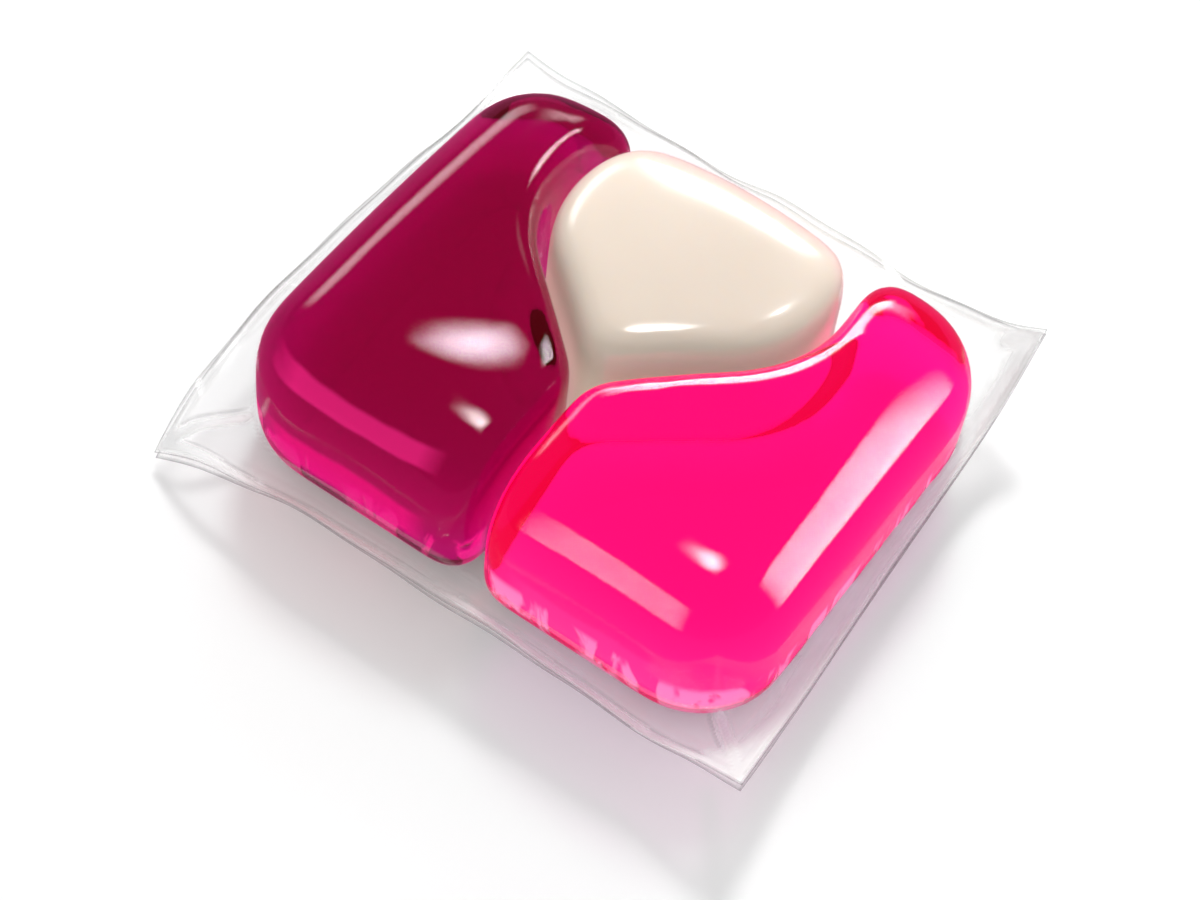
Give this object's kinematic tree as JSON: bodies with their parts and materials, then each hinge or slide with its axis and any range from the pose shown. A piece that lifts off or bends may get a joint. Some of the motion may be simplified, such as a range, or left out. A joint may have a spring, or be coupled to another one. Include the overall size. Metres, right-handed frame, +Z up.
{
  "type": "laundry detergent capsule",
  "caption": "Soluble-film laundry capsule with side-by-side gel chambers, pillowed top and underside, and a clear sealed flange that leans up around its edge.",
  "frame": {"origin": "on the table under the middle of the film's box", "axes": "+X along the longer side, from the magenta gel to the pink one; +Y towards the cream gel; +Z up, with the formed pockets on top"},
  "size_m": [0.0528, 0.0464, 0.0161],
  "materials": {
    "formed_film": "clear glossy film",
    "sealing_film": "clear glossy film",
    "magenta_gel": "clear dark gel",
    "cream_gel": "opaque pearly gel",
    "pink_gel": "clear bright gel"
  },
  "bodies": {
    "root": {"pocket_film": "formed_film", "lid_film": "sealing_film", "magenta_gel": "magenta_gel", "cream_gel": "cream_gel", "pink_gel": "pink_gel"}
  },
  "joints": []
}
